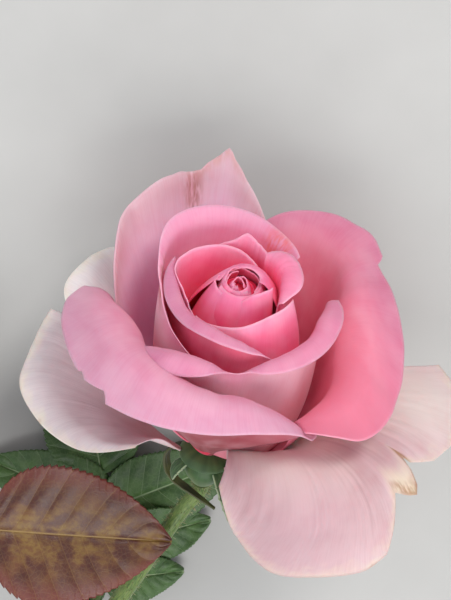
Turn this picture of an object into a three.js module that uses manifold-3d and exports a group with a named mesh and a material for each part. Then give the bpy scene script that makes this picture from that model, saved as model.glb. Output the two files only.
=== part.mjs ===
// A cut rose stem lying on its side: one large open bloom on a bent neck, five turned-back sepals,
// a thorny stem with a flat cut, and two compound leaves. Millimetres, +Z up, the surface it lies on
// at z = 0, and the origin under the middle of the whole thing.
import * as THREE from "three";
import { mergeVertices } from "three/addons/utils/BufferGeometryUtils.js";
import Module from "manifold-3d";

const wasm = await Module();
wasm.setup();

// The bloom's own frame: its foot sits HIP_AT above the surface, its axis is RAISED above level and
// swung off to one side, and azimuth 90 of the bloom faces down. Heights run along the axis.
const HIP_AT = [-15.35, -20.95, 34.1];
const AXIS_OFF_VIEW = 50;
const AXIS_SWING = 11;
const VIEW_FROM_PLUMB = 15;

// Petals are modelled a little thicker than life, and keep clear of each other by a fixed gap.
const PETAL_THICKNESS = 0.8;
const CLEARANCE = 0.4;

// A petal's body is a bow whose handles are BOW_PART of its length. Its margin rolls over along the
// first ROLL_PART of its own width and runs straight from there. From the claw up, the petal widens
// with the SPREAD_POWER of the length.
const BOW_PART = 0.42;
const BOW_STEPS = 24;
const MARGIN_STEPS = 12;
const ROLL_PART = 0.65;
const SPREAD_POWER = 0.6;

// Faces across and along a petal. Those that reach less than SMALL_REACH from the axis have fewer.
const BROAD_GRID = [12, 9];
const SMALL_GRID = [10, 7];
const SMALL_REACH = 18;

// The hip under the bloom, as radius and height up its side. Its domed top carries the claws.
const HIP_LENGTH = 12;
const HIP_RIM_RADIUS = 6.9;
const NECK_RADIUS = 1.9;
const HIP_SIDES = 16;
const HIP_PROFILE = [
  [0, -HIP_LENGTH],
  [NECK_RADIUS, -HIP_LENGTH],
  [3.1, -10.6],
  [4.7, -8],
  [5.2, -6],
  [4.6, -4],
  [5.9, -2.9],
  [HIP_RIM_RADIUS, -2.3],
  [5.9, -1],
  [4.8, -0.3],
  [3.8, 0.1],
  [2.8, 0.5],
  [1.8, 0.9],
  [0, 1.1],
];

// The stem, as points that it passes, measured from the bloom's foot. It starts a hair under the hip
// and runs straight on for a short stretch.
const STEM_RADIUS = 2.3;
const STEM_GAP = 0.3;
const NECK_STRETCH = 2.5;
const STEM_ROUTE = [
  [5.6, 17.5, -7.2],
  [10, 24, -8],
  [16.5, 35, -11],
  [23, 46, -14.5],
  [40, 74, -21],
  [63, 111, -31.9],
];
const STEM_SIDES = 10;
const STEM_STEPS = 18;

// Prickles, as the share of the stem's length and the angle round it, in degrees from level. Each is
// rooted inside the stem, and its tip rakes towards the cut end.
const PRICKLE_LENGTH = 4.5;
const PRICKLE_RADIUS = 1.5;
const PRICKLE_TIP_RADIUS = 0.15;
const PRICKLE_ROOT = 1;
const PRICKLE_RAKE = 1.5;
const PRICKLE_BOW = 0.6;
const PRICKLE_SIDES = 6;
const PRICKLE_STEPS = 5;
const PRICKLES = [
  [0.46, 70],
  [0.58, 200],
  [0.68, -30],
  [0.79, 110],
  [0.9, 20],
];

// Sepals. Each leaves the hip just under its rim at an angle off the bloom's axis, and turns back
// by its own angle along its length. The last is a narrow one that hooks round to the neck.
const SEPAL_THICKNESS = 0.7;
const SEPAL_STEPS = 9;
const SEPAL_ROOT = { r: 5.9, z: -3.5 };
const SEPAL_CUPPING = 0.04;
const SEPAL_TIP_WIDTH = 0.7;
const SEPALS = [
  { azimuth: -150, leaves: 112, turned: 165, length: 14, width: 7 },
  { azimuth: -60, leaves: 115, turned: 120, length: 14, width: 7 },
  { azimuth: 12, leaves: 105, turned: 42, length: 24, width: 7 },
  { azimuth: 84, leaves: 105, turned: 24, length: 26, width: 7 },
  { azimuth: 152, leaves: 95, turned: 172, length: 21, width: 4 },
];

// Leaves. A rachis is a row of points from the stem, measured from the bloom's foot. Each leaflet
// leaves it at a share of its length and points at "to".
const LEAF_THICKNESS = 0.7;
const RACHIS_RADIUS = 0.9;
const RACHIS_STEPS = 14;
const RACHIS_SIDES = 6;
const LEAFLET_TEETH = 5;
const TOOTH_SWELL = 1.08;
const LEAFLET_END_WIDTH = 0.6;
const BRONZE_RACHIS = [
  [32.3, 55.7, -15.9],
  [39, 50, -10],
  [48, 36, -2],
  [53.5, 19, 4],
  [57, 8, 6],
];
const BRONZE_LEAFLETS = [
  { on: 0.79, to: [9.5, 24.5, 1], tilt: -8, length: 44, width: 33, fold: 0.12, droop: 0.04 },
  { on: 0.76, to: [96, 4, -2], tilt: 8, length: 42, width: 31, fold: 0.2, droop: 0.14 },
  { on: 1, to: [82, -24, 4], tilt: 0, length: 48, width: 34, fold: 0.2, droop: 0.18 },
];
const GREEN_RACHIS = [
  [34.9, 63.2, -21.8],
  [31.5, 56, -27],
  [27, 44, -30.5],
  [26, 30, -31.5],
  [28, 18, -31.3],
];
const GREEN_LEAFLETS = [
  { on: 0.4, to: [6, 45, -29.5], tilt: 4, length: 21, width: 15, fold: 0.16, droop: 0.06 },
  { on: 0.6, to: [0, 31, -29.5], tilt: 6, length: 27, width: 18, fold: 0.16, droop: 0.06 },
  { on: 0.8, to: [-7, 14, -29], tilt: 4, length: 36, width: 23, fold: 0.16, droop: 0.06 },
  { on: 0.4, to: [47, 52, -31], tilt: 0, length: 20, width: 15, fold: 0.16, droop: 0.06 },
  { on: 0.6, to: [53, 38, -31], tilt: 0, length: 27, width: 19, fold: 0.16, droop: 0.06 },
  { on: 0.8, to: [60, 14, -31], tilt: 0, length: 34, width: 23, fold: 0.16, droop: 0.06 },
  { on: 1, to: [34, -16, -31.4], tilt: 0, length: 35, width: 26, fold: 0.16, droop: 0.06 },
];

const rad = THREE.MathUtils.degToRad;

// Each petal is a row of profiles through the bloom's axis. "azimuth" gives its two sides. The lists
// hold values at even steps from one side to the other: "reach" and "rise" are the radius and height
// where the rolled margin begins, "lean" how far the petal leans out there, "flap" the margin's
// width and "turn" how far it rolls over, in degrees. "seat" is where the claw stands on the
// receptacle, "flare" the angle at which it leaves, and "claw" the claw's share of the full spread.
const PETALS = [
  {
    name: "heart_core",
    azimuth: [20, 330],
    reach: [2.6, 2.4, 2.2, 2, 1.8, 1.6],
    rise: [50, 50.4, 50.8, 51.2, 51.6, 51.6],
    lean: [-8],
    flap: [0.6],
    turn: [0],
    seat: [0.9, 2.2],
    flare: 10,
    claw: 1,
  },
  {
    name: "heart_wrap",
    azimuth: [60, 395],
    reach: [6.1, 5.7, 5.6, 5.6, 5.3, 5.2, 5.8, 6.6, 6.2],
    rise: [52.7, 52.2, 51.5, 51, 50.4, 50.3, 52.6, 53.3, 53],
    lean: [-26],
    flap: [0.8],
    turn: [15],
    seat: [1.9, 1.8],
    flare: 24,
    claw: 0.9,
  },
  {
    name: "inner_front",
    azimuth: [220, 345],
    reach: [10.6, 10.8, 11, 11.3, 11.8, 12.2],
    rise: [45.5, 46.6, 47.9, 50.1, 51.2, 52.2],
    lean: [-10, -10, -12, -16, -20, -20],
    flap: [0.8],
    turn: [8],
    seat: [2.8, 1.4],
    flare: 32,
    claw: 0.5,
  },
  {
    name: "inner_left",
    azimuth: [236, 64],
    reach: [11.8, 12, 12.8, 15.2, 14.6, 12.4, 10.2, 8.3, 7],
    rise: [44, 46.5, 48.5, 50.2, 51.5, 52.4, 52.4, 52, 51.8],
    lean: [-5, -5, 0, 5, 5, 0, -5, -10, -15],
    flap: [1.2],
    turn: [15],
    seat: [2.8, 1.4],
    flare: 32,
    claw: 0.5,
  },
  {
    name: "inner_back",
    azimuth: [134, 52],
    reach: [15, 13.4, 12.4, 12.4, 11.4, 10.4, 9.8],
    rise: [48.5, 51.4, 53.2, 54.6, 54.2, 53.8, 53.4],
    lean: [5],
    flap: [0.9],
    turn: [10],
    seat: [3.8, 1],
    flare: 35,
    claw: 0.5,
  },
  {
    name: "inner_right",
    azimuth: [60, -28],
    reach: [8.4, 8.4, 8.5, 8.7, 9.2, 10],
    rise: [54.6, 55.2, 55, 54.4, 53, 51],
    lean: [0],
    flap: [1.5, 3.6, 5.6, 6.2, 5.2, 2.5],
    turn: [40, 75, 100, 105, 95, 50],
    seat: [3.8, 1],
    flare: 30,
    claw: 0.5,
  },
  {
    name: "cup_left",
    azimuth: [160, 306],
    reach: [16.4, 14.4, 13.2, 12.8, 12.8, 13, 13.8, 15.4, 17.6],
    rise: [50.5, 49, 47.4, 47, 47, 47.2, 47, 46, 43.6],
    lean: [0, -6, -10, -10, -10, -10, -8, -5, 0],
    flap: [1, 3.8, 5.2, 5.4, 5.4, 5.2, 4.8, 3.6, 1],
    turn: [50, 110, 125, 130, 130, 130, 125, 110, 50],
    seat: [3.8, 1],
    flare: 36,
    claw: 0.5,
  },
  {
    name: "cup_back",
    azimuth: [246, 42],
    reach: [17, 16.8, 17.2, 18.6, 20.4, 20.6, 19.6, 17, 15],
    rise: [40, 43.6, 47, 49.8, 52, 51.8, 51.2, 51.2, 51.8],
    lean: [0, 0, 0, 0, 5, 8, 8, 8, 5],
    flap: [1, 1, 1.2, 3, 4.6, 5.2, 5, 4, 2.5],
    turn: [40, 40, 40, 40, 45, 45, 50, 50, 30],
    seat: [4.8, 0.6],
    flare: 40,
    claw: 0.4,
  },
  {
    name: "cup_front",
    azimuth: [203, 368],
    reach: [23.8, 23, 22.2, 20.6, 19.8, 19, 19, 19.4, 18.9, 20],
    rise: [36, 41.5, 44.4, 44.2, 42.6, 44.2, 45.4, 47.4, 49, 48.5],
    lean: [0],
    flap: [1, 6, 8.5, 5.8, 0.8, 4.6, 6.2, 7, 7, 3.4],
    turn: [80, 140, 150, 140, 60, 115, 125, 125, 110, 95],
    seat: [4.8, 0.6],
    flare: 42,
    claw: 0.45,
  },
  {
    name: "right_broad",
    azimuth: [92, -52],
    reach: [24, 27, 30, 30, 27.2, 24.4, 23.6, 24.2, 25.6, 26, 26],
    rise: [42, 45, 45, 45, 45, 43, 39.5, 35.5, 33, 31.5, 30],
    lean: [10, 15, 20, 20, 15, 10, 10, 10, 10, 10, 10],
    flap: [4, 7.4, 10, 11.2, 12, 16, 19, 20.5, 19, 15, 6],
    turn: [20, 40, 50, 60, 80, 95, 105, 110, 110, 100, 60],
    seat: [5.8, 0.1],
    flare: 50,
    claw: 0.5,
  },
  {
    name: "left_broad",
    azimuth: [164, 321],
    reach: [28, 23, 21.5, 22.5, 23.5, 24, 23.5, 23.5, 25.5, 31],
    rise: [33, 35.5, 37, 38, 39, 38.5, 37.5, 37, 34, 26],
    lean: [20, 5, 0, 0, 0, 0, 0, 5, 12, 40],
    flap: [11, 21, 24, 23, 19.5, 17, 15, 14.5, 10.5, 2],
    turn: [100, 130, 140, 145, 148, 140, 138, 120, 100, 30],
    seat: [3.8, 1],
    flare: 34,
    claw: 0.5,
  },
  {
    name: "back_pointed",
    azimuth: [178, 80],
    reach: [24, 30, 33, 35, 35.6, 37, 39.5, 33, 25],
    rise: [29, 40, 47, 49.5, 53, 52.6, 53.4, 51.4, 47],
    lean: [5, 15, 20, 25, 25, 30, 35, 30, 20],
    flap: [1, 1.5, 2, 2, 2, 2, 2, 2.2, 1.4, 5.5, 3.4, 1.4, 1],
    turn: [20],
    seat: [5.8, 0.1],
    flare: 50,
    claw: 0.5,
  },
  {
    name: "guard_front",
    azimuth: [-76, 24],
    reach: [15, 20, 24, 26, 27.5, 28, 28.5, 29, 30, 31, 31],
    rise: [13, 17, 19.5, 20.5, 20.5, 20.5, 20.5, 21, 21.5, 22, 23],
    lean: [75, 66, 62, 60, 60, 62, 64, 66, 68, 70, 72],
    flap: [14, 29.5, 37, 38, 37, 29, 21, 25.5, 29.6, 29, 26],
    turn: [78, 129, 130, 117, 101, 83, 67, 59, 50, 41, 36],
    seat: [6.6, -1.5],
    flare: 68,
    claw: 0.9,
  },
  {
    name: "guard_left",
    azimuth: [160, 218],
    reach: [39.6, 38.6, 38, 38.4, 36, 32.5, 27.5, 20],
    rise: [20.5, 19, 16.5, 14.5, 12.6, 10.2, 8, 8.5],
    lean: [68, 72, 76, 80, 82, 84, 84, 84],
    flap: [7, 8, 9, 9, 8.4, 7, 5, 1.6],
    turn: [40],
    seat: [6.6, -1.5],
    flare: 72,
    claw: 0.5,
  },
  {
    name: "guard_high_left",
    azimuth: [116, 170],
    reach: [30, 35, 39, 39, 38, 33],
    rise: [28, 29, 29, 29, 26, 22],
    lean: [60, 65, 65, 65, 65, 60],
    flap: [3, 5, 6, 6, 6, 3],
    turn: [25],
    seat: [6.6, -1.5],
    flare: 66,
    claw: 0.5,
  },
  {
    name: "guard_under_left",
    azimuth: [84, 130],
    reach: [33, 38, 40, 38, 31],
    rise: [16, 18, 19, 19, 18],
    lean: [72],
    flap: [3, 6, 8, 6, 3],
    turn: [20],
    seat: [6.6, -1.5],
    flare: 68,
    claw: 0.6,
  },
  {
    name: "guard_under_right",
    azimuth: [26, 82],
    reach: [34, 41, 47, 45, 35],
    rise: [20, 19.5, 19, 18, 16],
    lean: [72],
    flap: [3, 6, 8, 6, 3],
    turn: [20],
    seat: [6.6, -1.5],
    flare: 68,
    claw: 0.6,
  },
];

// Finishes.
function finish(name, color, roughness) {
  return new THREE.MeshStandardMaterial({ name, color, roughness, metalness: 0 });
}
const HEART_PINK = finish("heart_pink", 0xe8486f, 0.6);
const CUP_PINK = finish("cup_pink", 0xf08098, 0.6);
const BROAD_PINK = finish("broad_pink", 0xf0a0b8, 0.6);
const GUARD_PINK = finish("guard_pink", 0xdcc8c8, 0.65);
const STEM_GREEN = finish("stem_green", 0x5c7440, 0.55);
const LEAF_GREEN = finish("leaf_green", 0x3c5c38, 0.45);
const LEAF_BRONZE = finish("leaf_bronze", 0x74483c, 0.4);

// The value at u, from -1 to 1, of a list of values at even steps, on a smooth curve through them.
function across(values, u) {
  if (values.length === 1) return values[0];
  const x = ((u + 1) / 2) * (values.length - 1);
  const i = Math.min(Math.floor(x), values.length - 2);
  const at = (k) => {
    if (k < 0) return 2 * values[0] - values[1];
    if (k >= values.length) return 2 * values[k - 1] - values[k - 2];
    return values[k];
  };
  const t = x - i;
  const [a, b, c, d] = [at(i - 1), at(i), at(i + 1), at(i + 2)];
  return b + 0.5 * t * (c - a + t * (2 * a - 5 * b + 4 * c - d + t * (3 * (b - c) + d - a)));
}

// One profile of a petal, as a polyline of radius and height: a bowed body, then the rolled margin.
function profile(petal, u) {
  const seat = new THREE.Vector2(...petal.seat);
  const crest = new THREE.Vector2(across(petal.reach, u), across(petal.rise, u));
  const flare = rad(petal.flare);
  const lean = rad(across(petal.lean, u));
  const handle = BOW_PART * seat.distanceTo(crest);
  const leave = seat.clone().add(new THREE.Vector2(Math.sin(flare), Math.cos(flare)).multiplyScalar(handle));
  const arrive = crest.clone().sub(new THREE.Vector2(Math.sin(lean), Math.cos(lean)).multiplyScalar(handle));
  const line = new THREE.CubicBezierCurve(seat, leave, arrive, crest).getPoints(BOW_STEPS);
  const step = across(petal.flap, u) / MARGIN_STEPS;
  const turn = rad(across(petal.turn, u));
  const point = crest.clone();
  for (let i = 0; i < MARGIN_STEPS; i++) {
    const angle = lean + turn * Math.min((i + 0.5) / MARGIN_STEPS / ROLL_PART, 1);
    point.add(new THREE.Vector2(Math.sin(angle), Math.cos(angle)).multiplyScalar(step));
    line.push(point.clone());
  }
  return line;
}

// A polyline's points again, at even distances, with the share of the length at each.
function evenly(line, count) {
  const lengths = [0];
  for (let i = 1; i < line.length; i++) lengths.push(lengths[i - 1] + line[i].distanceTo(line[i - 1]));
  const total = lengths[lengths.length - 1];
  const points = [];
  for (let k = 0, i = 1; k < count; k++) {
    const wanted = (total * k) / (count - 1);
    while (i < line.length - 1 && lengths[i] < wanted) i++;
    const t = (wanted - lengths[i - 1]) / (lengths[i] - lengths[i - 1]);
    points.push({ share: k / (count - 1), at: line[i - 1].clone().lerp(line[i], t) });
  }
  return points;
}

function petalGrid(petal) {
  const [from, to] = petal.azimuth;
  const [wide, long] = Math.max(...petal.reach) < SMALL_REACH ? SMALL_GRID : BROAD_GRID;
  const columns = [];
  for (let i = 0; i <= wide; i++) {
    const u = (2 * i) / wide - 1;
    columns.push(
      evenly(profile(petal, u), long + 1).map(({ share, at }) => {
        const spread = petal.claw + (1 - petal.claw) * share ** SPREAD_POWER;
        const azimuth = rad((from + to) / 2 + ((to - from) / 2) * u * spread);
        return new THREE.Vector3(at.x * Math.cos(azimuth), at.x * Math.sin(azimuth), at.y);
      }),
    );
  }
  return columns;
}

// The same grid with its margins carried outwards by the clearance.
function widened(grid) {
  const wide = grid.map((column) => column.map((point) => point.clone()));
  const push = (point, from) => point.add(point.clone().sub(from).setLength(CLEARANCE));
  for (const column of wide) {
    push(column[0], column[1]);
    push(column[column.length - 1], column[column.length - 2]);
  }
  wide[0].forEach((point, j) => push(point, wide[1][j]));
  wide[wide.length - 1].forEach((point, j) => push(point, wide[wide.length - 2][j]));
  return wide;
}

// A closed sheet of even thickness about a grid of points.
function sheet(grid, thickness) {
  const columns = grid.length;
  const rows = grid[0].length;
  const normals = grid.map((column, i) =>
    column.map((point, j) => {
      const sideways = grid[Math.min(i + 1, columns - 1)][j].clone().sub(grid[Math.max(i - 1, 0)][j]);
      const upward = column[Math.min(j + 1, rows - 1)].clone().sub(column[Math.max(j - 1, 0)]);
      return sideways.cross(upward).normalize();
    }),
  );
  const positions = [];
  for (const side of [0.5, -0.5]) {
    grid.forEach((column, i) =>
      column.forEach((point, j) => {
        positions.push(...point.clone().addScaledVector(normals[i][j], side * thickness).toArray());
      }),
    );
  }
  const index = (i, j, side) => side * columns * rows + i * rows + j;
  const faces = [];
  const quad = (a, b, c, d) => faces.push(a, b, c, a, c, d);
  for (let i = 0; i < columns - 1; i++) {
    for (let j = 0; j < rows - 1; j++) {
      quad(index(i, j, 0), index(i + 1, j, 0), index(i + 1, j + 1, 0), index(i, j + 1, 0));
      quad(index(i, j, 1), index(i, j + 1, 1), index(i + 1, j + 1, 1), index(i + 1, j, 1));
    }
    quad(index(i, 0, 0), index(i, 0, 1), index(i + 1, 0, 1), index(i + 1, 0, 0));
    quad(index(i, rows - 1, 0), index(i + 1, rows - 1, 0), index(i + 1, rows - 1, 1), index(i, rows - 1, 1));
  }
  for (let j = 0; j < rows - 1; j++) {
    quad(index(0, j, 0), index(0, j + 1, 0), index(0, j + 1, 1), index(0, j, 1));
    const [a, b] = [index(columns - 1, j, 0), index(columns - 1, j + 1, 0)];
    quad(a, index(columns - 1, j, 1), index(columns - 1, j + 1, 1), b);
  }
  return closed(positions, faces);
}

function closed(positions, faces) {
  const geometry = new THREE.BufferGeometry();
  geometry.setAttribute("position", new THREE.BufferAttribute(new Float32Array(positions), 3));
  geometry.setIndex(faces);
  return geometry;
}

// A round limb of changing radius along a curve, with flat ends.
function limb(curve, radiusAt, steps, sides) {
  const frames = curve.computeFrenetFrames(steps, false);
  const positions = [];
  const faces = [];
  for (let i = 0; i <= steps; i++) {
    const centre = curve.getPointAt(i / steps);
    for (let k = 0; k < sides; k++) {
      const angle = (2 * Math.PI * k) / sides;
      const out = frames.normals[i].clone().multiplyScalar(Math.cos(angle));
      out.addScaledVector(frames.binormals[i], Math.sin(angle));
      positions.push(...centre.clone().addScaledVector(out, radiusAt(i / steps)).toArray());
    }
  }
  for (let i = 0; i < steps; i++) {
    for (let k = 0; k < sides; k++) {
      const [a, b] = [i * sides + k, i * sides + ((k + 1) % sides)];
      faces.push(a, b, b + sides, a, b + sides, a + sides);
    }
  }
  const last = steps * sides;
  for (let k = 1; k < sides - 1; k++) {
    faces.push(0, k + 1, k);
    faces.push(last, last + k, last + k + 1);
  }
  return closed(positions, faces);
}

function solid(geometry) {
  const bare = geometry.clone();
  bare.deleteAttribute("normal");
  bare.deleteAttribute("uv");
  const merged = mergeVertices(bare, 1e-4);
  return new wasm.Manifold(
    new wasm.Mesh({
      numProp: 3,
      vertProperties: new Float32Array(merged.attributes.position.array),
      triVerts: new Uint32Array(merged.index.array),
    }),
  );
}

function geometryOf(made) {
  const mesh = made.getMesh();
  return closed(Array.from(mesh.vertProperties), Array.from(mesh.triVerts));
}

const largest = (made) => made.decompose().sort((a, b) => b.volume() - a.volume())[0];

function addTo(group, name, made, material) {
  const mesh = new THREE.Mesh(geometryOf(made), material);
  mesh.name = name;
  group.add(mesh);
}

const rose = new THREE.Group();

// The bloom, petal by petal from the heart outwards. A petal gives way to those inside it.
const bloom = new THREE.Group();
const swing = rad(AXIS_SWING);
const off = rad(AXIS_OFF_VIEW);
const plumb = rad(VIEW_FROM_PLUMB);
const viewRight = new THREE.Vector3(-1, 0, 0);
const viewUp = new THREE.Vector3(0, -Math.cos(plumb), -Math.sin(plumb));
const viewBack = new THREE.Vector3(0, -Math.sin(plumb), Math.cos(plumb));
const axis = viewBack.clone().multiplyScalar(Math.cos(off));
axis.addScaledVector(viewUp, Math.sin(off) * Math.cos(swing));
axis.addScaledVector(viewRight, Math.sin(off) * Math.sin(swing));
const zero = viewRight.clone().multiplyScalar(Math.cos(swing)).addScaledVector(viewUp, -Math.sin(swing));
const down = new THREE.Vector3().crossVectors(axis, zero);
bloom.quaternion.setFromRotationMatrix(new THREE.Matrix4().makeBasis(zero, down, axis));
bloom.position.set(...HIP_AT);
rose.add(bloom);

function petalFinish(name) {
  if (name.startsWith("heart") || name.startsWith("inner")) return HEART_PINK;
  if (name.startsWith("cup")) return CUP_PINK;
  return name.startsWith("guard") ? GUARD_PINK : BROAD_PINK;
}

const inside = [];
for (const petal of PETALS) {
  const grid = petalGrid(petal);
  let made = solid(sheet(grid, PETAL_THICKNESS));
  for (const other of inside) {
    if (made.intersect(other).volume() > 0) made = largest(made.subtract(other));
  }
  inside.push(solid(sheet(widened(grid), PETAL_THICKNESS + 2 * CLEARANCE)));
  addTo(bloom, "petal_" + petal.name, made, petalFinish(petal.name));
}

// The hip, a turned body.
const hipProfile = HIP_PROFILE.map(([r, z]) => new THREE.Vector2(r, z));
const hip = new THREE.LatheGeometry(hipProfile, HIP_SIDES).rotateX(Math.PI / 2);
addTo(bloom, "hip", solid(hip), STEM_GREEN);

// A sepal, as a narrow blade along a line that turns away from the hip.
function sepal({ leaves, turned, length, width }) {
  const step = length / SEPAL_STEPS;
  const line = [{ ...SEPAL_ROOT, angle: rad(leaves) }];
  for (let i = 1; i <= SEPAL_STEPS; i++) {
    const last = line[i - 1];
    const angle = last.angle + rad(turned / SEPAL_STEPS);
    line.push({ r: last.r + step * Math.sin(angle), z: last.z + step * Math.cos(angle), angle });
  }
  const columns = [-1, -0.5, 0, 0.5, 1].map((side) =>
    line.map(({ r, z }, i) => {
      const t = i / SEPAL_STEPS;
      const y = (side * (width * (0.55 + 1.6 * t) * (1 - t) ** 1.1 + SEPAL_TIP_WIDTH)) / 2;
      return new THREE.Vector3(r - SEPAL_CUPPING * y * y, y, z);
    }),
  );
  return sheet(columns, SEPAL_THICKNESS);
}

SEPALS.forEach((shape, i) => {
  const blade = sepal(shape).rotateZ(rad(shape.azimuth));
  addTo(bloom, `sepal_${i + 1}`, solid(blade), LEAF_GREEN);
});

// The stem, with prickles sunk into it.
const foot = new THREE.Vector3(...HIP_AT);
const neck = foot.clone().addScaledVector(axis, -HIP_LENGTH - STEM_GAP);
const stemLine = new THREE.CatmullRomCurve3([
  neck,
  neck.clone().addScaledVector(axis, -NECK_STRETCH),
  ...STEM_ROUTE.map((p) => new THREE.Vector3(...p).add(foot)),
]);
const stemRadius = (t) => NECK_RADIUS + (STEM_RADIUS - NECK_RADIUS) * Math.min(t * 2, 1);
let stem = solid(limb(stemLine, stemRadius, STEM_STEPS, STEM_SIDES));

function aside(curve, t, angle) {
  const ahead = curve.getTangentAt(t);
  const level = new THREE.Vector3(0, 0, 1).cross(ahead).normalize();
  const up = ahead.clone().cross(level);
  const out = level.multiplyScalar(Math.cos(rad(angle))).addScaledVector(up, Math.sin(rad(angle)));
  return { at: curve.getPointAt(t), out, ahead };
}

for (const [t, angle] of PRICKLES) {
  const { at, out, ahead } = aside(stemLine, t, angle);
  const root = at.clone().addScaledVector(out, PRICKLE_ROOT);
  const tip = at.clone().addScaledVector(out, STEM_RADIUS + PRICKLE_LENGTH);
  tip.addScaledVector(ahead, PRICKLE_RAKE);
  const mid = root.clone().lerp(tip, 0.5).addScaledVector(ahead, -PRICKLE_BOW);
  const line = new THREE.CatmullRomCurve3([root, mid, tip]);
  const radius = (s) => PRICKLE_RADIUS * (1 - s) + PRICKLE_TIP_RADIUS;
  stem = stem.add(solid(limb(line, radius, PRICKLE_STEPS, PRICKLE_SIDES)));
}
addTo(rose, "stem", stem, STEM_GREEN);

// A leaflet: an oval blade with a toothed margin, folded up a little along its midrib and drooping
// towards its tip. It lies along +X from its base.
function leaflet(length, width, fold, droop) {
  const steps = 2 * LEAFLET_TEETH;
  const columns = [];
  for (const side of [1, 0, -1]) {
    const column = [];
    for (let i = 0; i <= steps; i++) {
      const t = i / steps;
      const tooth = i % 2 ? TOOTH_SWELL : 1;
      const wide = (2.1 * width * t ** 0.55 * (1 - t) ** 0.75 + LEAFLET_END_WIDTH) * tooth;
      const y = (wide / 2) * side;
      column.push(new THREE.Vector3(length * t, y, fold * Math.abs(y) - droop * length * t * t));
    }
    columns.push(column);
  }
  return sheet(columns, LEAF_THICKNESS);
}

// A compound leaf: a rachis along given points, with leaflets set on it.
function compoundLeaf(name, route, leaflets, material) {
  const line = new THREE.CatmullRomCurve3(route.map((p) => new THREE.Vector3(...p).add(foot)));
  let made = solid(limb(line, (t) => RACHIS_RADIUS * (1.3 - 0.6 * t), RACHIS_STEPS, RACHIS_SIDES));
  for (const { on, to, tilt, length, width, fold, droop } of leaflets) {
    const base = line.getPointAt(on);
    const tip = new THREE.Vector3(...to).add(foot);
    const along = tip.clone().sub(base).normalize();
    const side = new THREE.Vector3(0, 0, 1).cross(along).normalize().applyAxisAngle(along, rad(tilt));
    const up = along.clone().cross(side);
    const blade = leaflet(length, width, fold, droop);
    blade.applyMatrix4(new THREE.Matrix4().makeBasis(along, side, up).setPosition(base));
    made = made.add(solid(blade));
  }
  addTo(rose, name, made, material);
}

compoundLeaf("leaf_bronze", BRONZE_RACHIS, BRONZE_LEAFLETS, LEAF_BRONZE);
compoundLeaf("leaf_green", GREEN_RACHIS, GREEN_LEAFLETS, LEAF_GREEN);

export default rose;
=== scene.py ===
from math import cos, pi, radians, sin, sqrt

import bpy
import numpy as np
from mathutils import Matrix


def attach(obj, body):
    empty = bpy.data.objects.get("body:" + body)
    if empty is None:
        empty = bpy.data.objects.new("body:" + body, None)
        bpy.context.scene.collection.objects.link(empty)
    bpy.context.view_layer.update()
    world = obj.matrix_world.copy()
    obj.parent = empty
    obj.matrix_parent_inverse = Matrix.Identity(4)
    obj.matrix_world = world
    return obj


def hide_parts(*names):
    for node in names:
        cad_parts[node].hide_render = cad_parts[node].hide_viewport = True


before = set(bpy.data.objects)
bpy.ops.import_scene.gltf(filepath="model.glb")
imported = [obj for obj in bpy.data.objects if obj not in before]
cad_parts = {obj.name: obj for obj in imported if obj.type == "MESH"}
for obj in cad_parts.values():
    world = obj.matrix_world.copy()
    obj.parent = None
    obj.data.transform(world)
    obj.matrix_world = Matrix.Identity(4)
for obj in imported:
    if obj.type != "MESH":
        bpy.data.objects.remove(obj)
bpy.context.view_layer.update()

MM = 0.001
FOOT = np.array([-15.35, -20.95, 34.1])
AXIS_OFF_VIEW = radians(50)
AXIS_SWING = radians(11)
VIEW_FROM_PLUMB = radians(15)

VIEW = np.array([
    [-1.0, 0.0, 0.0],
    [0.0, -cos(VIEW_FROM_PLUMB), -sin(VIEW_FROM_PLUMB)],
    [0.0, -sin(VIEW_FROM_PLUMB), cos(VIEW_FROM_PLUMB)],
])
swing = np.array([sin(AXIS_SWING), cos(AXIS_SWING), 0])
axis = (sin(AXIS_OFF_VIEW) * swing + [0, 0, cos(AXIS_OFF_VIEW)]) @ VIEW
zero = [cos(AXIS_SWING), -sin(AXIS_SWING), 0] @ VIEW
BLOOM = np.array([zero, np.cross(axis, zero), axis])


def from_bloom(points):
    """Points of the bloom's own frame, whose heights run along its axis, in the row's frame."""
    return np.asarray(points) @ BLOOM + FOOT


def across(values, side):
    """A list of values at even steps across a petal, read at side, from -1 to 1, on a smooth curve."""
    values = np.asarray(values, float)
    if len(values) == 1:
        return np.full(np.shape(side), values[0])
    ends = [2 * values[0] - values[1]], values, [2 * values[-1] - values[-2]]
    padded = np.concatenate(ends)
    x = (np.asarray(side) + 1) / 2 * (len(values) - 1)
    i = np.clip(np.floor(x).astype(int), 0, len(values) - 2)
    t = x - i
    a, b, c, d = (padded[i + k] for k in range(4))
    return b + 0.5 * t * (c - a + t * (2 * a - 5 * b + 4 * c - d + t * (3 * (b - c) + d - a)))


def unit(vector):
    return vector / np.linalg.norm(vector)


def run_along(points, power=1.0):
    """How far each point of a line lies along it, with each step raised to that power."""
    steps = np.linalg.norm(np.diff(points, axis=0), axis=1)
    return np.concatenate([[0], np.cumsum(steps**power)])


BOW_PART = 0.42
BOW_STEPS = 40
MARGIN_STEPS = 40
ROLL_PART = 0.65
SPREAD_POWER = 0.6
SPARE = 6


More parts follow.
